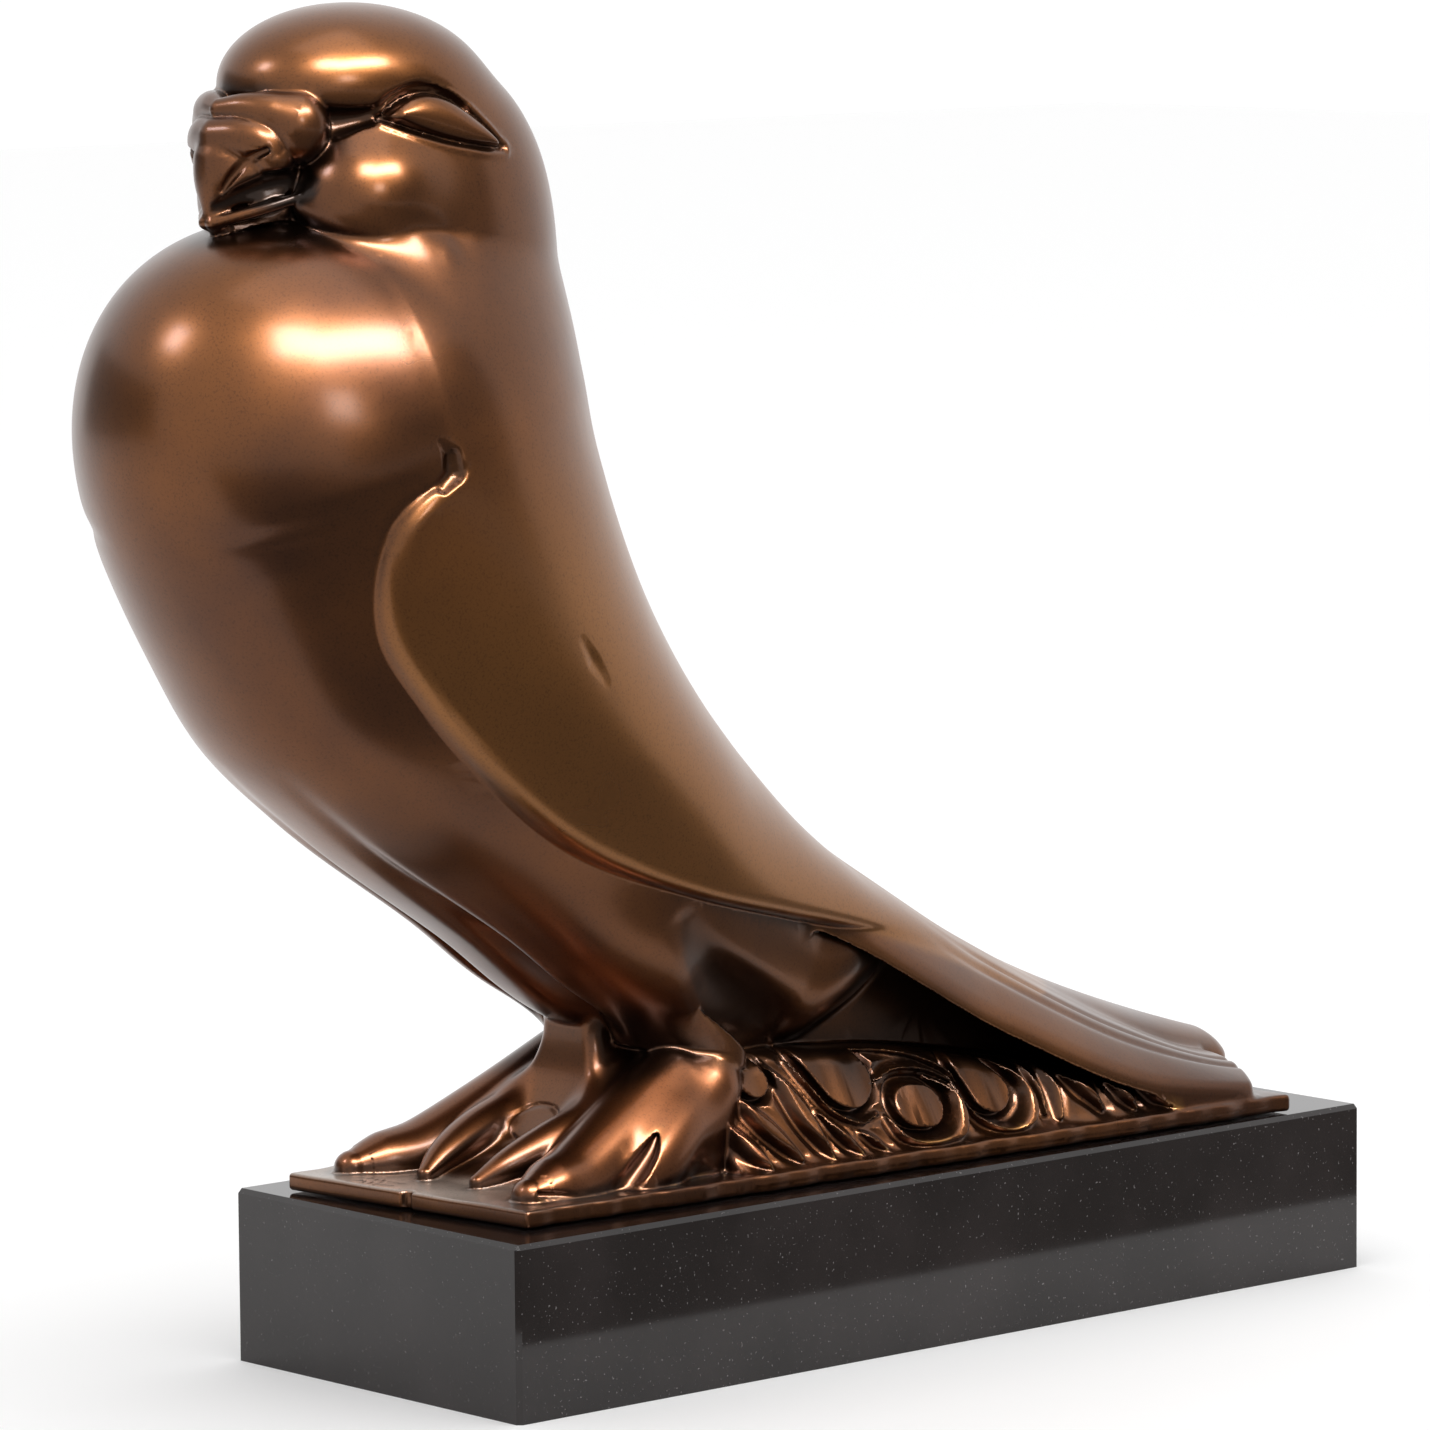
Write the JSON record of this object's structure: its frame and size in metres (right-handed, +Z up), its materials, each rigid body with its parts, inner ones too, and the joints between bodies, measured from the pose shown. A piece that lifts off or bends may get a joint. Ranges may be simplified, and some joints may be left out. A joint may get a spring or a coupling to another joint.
{
  "type": "bronze pigeon sculpture",
  "caption": "Stylised standing pigeon in brown bronze on a thin cast base plate, set on a rectangular black stone plinth.",
  "frame": {"origin": "centre of the plinth's underside", "axes": "+Z up, the bird faces -Y along the plinth's length, +X is the bird's left"},
  "size_m": [0.0816, 0.2512, 0.233],
  "materials": {
    "bronze": "brown wax-polished patina",
    "stone": "polished black marble with fine grey flecks"
  },
  "bodies": {
    "root": {"bronze_pigeon": "bronze", "marble_plinth": "stone"}
  },
  "joints": []
}
